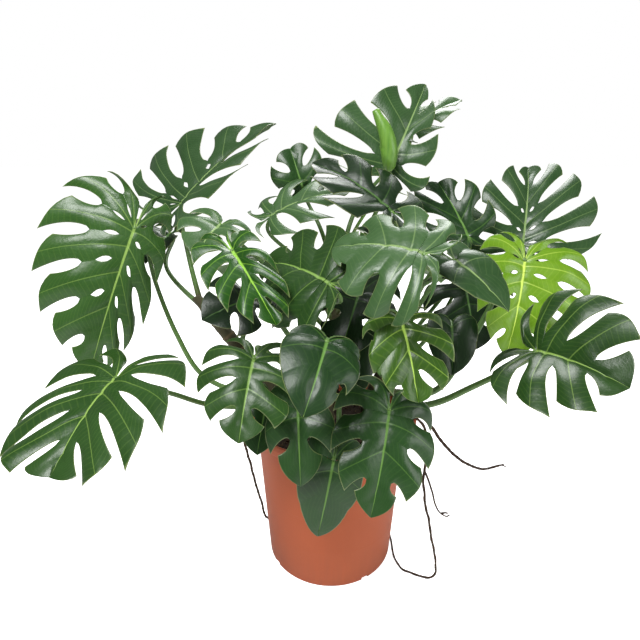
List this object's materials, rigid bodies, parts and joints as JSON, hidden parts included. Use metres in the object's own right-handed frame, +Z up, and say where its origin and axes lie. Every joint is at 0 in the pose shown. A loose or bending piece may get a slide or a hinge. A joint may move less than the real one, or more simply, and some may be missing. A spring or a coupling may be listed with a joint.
{
  "type": "potted monstera plant",
  "caption": "Bushy split-leaf houseplant in a tapered plastic nursery pot, with holed and lobed leaves on long stalks and aerial roots over the rim.",
  "frame": {"origin": "middle of the pot's underside, on the surface it stands on", "axes": "+Z up; -Y towards the viewer, the side the leaves face; +X to the viewer's right"},
  "size_m": [0.9997, 0.7236, 0.9011],
  "materials": {
    "pot": "satin moulded terracotta-brown plastic",
    "soil": "loose dark potting mix",
    "cane": "ringed green-brown stem",
    "stalk": "smooth green stalk",
    "leaf_fresh": "glossy mid-green leaf",
    "leaf_grey": "satin grey-green leaf",
    "leaf_dark": "glossy dark green leaf",
    "leaf_vivid": "glossy bright green young leaf",
    "leaf_lime": "glossy yellow-green young leaf",
    "leaf_new": "satin bright green rolled leaf",
    "root": "dry brown root"
  },
  "bodies": {
    "root": {"pot": "pot", "soil": "soil", "cane_left": "cane", "cane_middle": "cane", "cane_right": "cane", "cane_front": "cane", "left_shoulder_stalk": "stalk", "left_shoulder_blade": "leaf_fresh", "left_low_stalk": "stalk", "left_low_blade": "leaf_fresh", "left_top_stalk": "stalk", "left_top_blade": "leaf_grey", "left_inner_leaf": "leaf_dark", "left_deep_leaf": "leaf_dark", "left_vivid_stalk": "stalk", "left_vivid_blade": "leaf_vivid", "left_veiled_leaf": "leaf_grey", "left_front_stalk": "stalk", "left_front_blade": "leaf_fresh", "centre_left_stalk": "stalk", "centre_left_blade": "leaf_grey", "front_heart_stalk": "stalk", "front_heart_blade": "leaf_dark", "front_left_leaf": "leaf_dark", "rim_left_leaf": "leaf_dark", "rim_heart_stalk": "stalk", "rim_heart_blade": "leaf_dark", "front_right_stalk": "stalk", "front_right_blade": "leaf_dark", "lime_front_stalk": "stalk", "lime_front_blade": "leaf_lime", "centre_right_stalk": "stalk", "centre_right_blade": "leaf_grey", "upper_centre_stalk": "stalk", "upper_centre_blade": "leaf_dark", "crown_stalk": "stalk", "crown_blade": "leaf_grey", "crown_back_leaf": "leaf_grey", "upper_left_stalk": "stalk", "upper_left_blade": "leaf_grey", "right_inner_leaf": "leaf_dark", "right_top_stalk": "stalk", "right_top_blade": "leaf_grey", "lime_right_stalk": "stalk", "lime_right_blade": "leaf_lime", "right_veiled_leaf": "leaf_grey", "right_low_stalk": "stalk", "right_low_blade": "leaf_fresh", "right_deep_leaf": "leaf_dark", "inner_dark_leaf": "leaf_dark", "inner_low_leaf": "leaf_dark", "inner_right_leaf": "leaf_dark", "upper_dark_leaf": "leaf_dark", "back_left_leaf": "leaf_dark", "back_right_leaf": "leaf_dark", "back_middle_leaf": "leaf_dark", "new_leaf": "leaf_new", "root_left": "root", "root_right": "root", "root_floor": "root"}
  },
  "joints": []
}
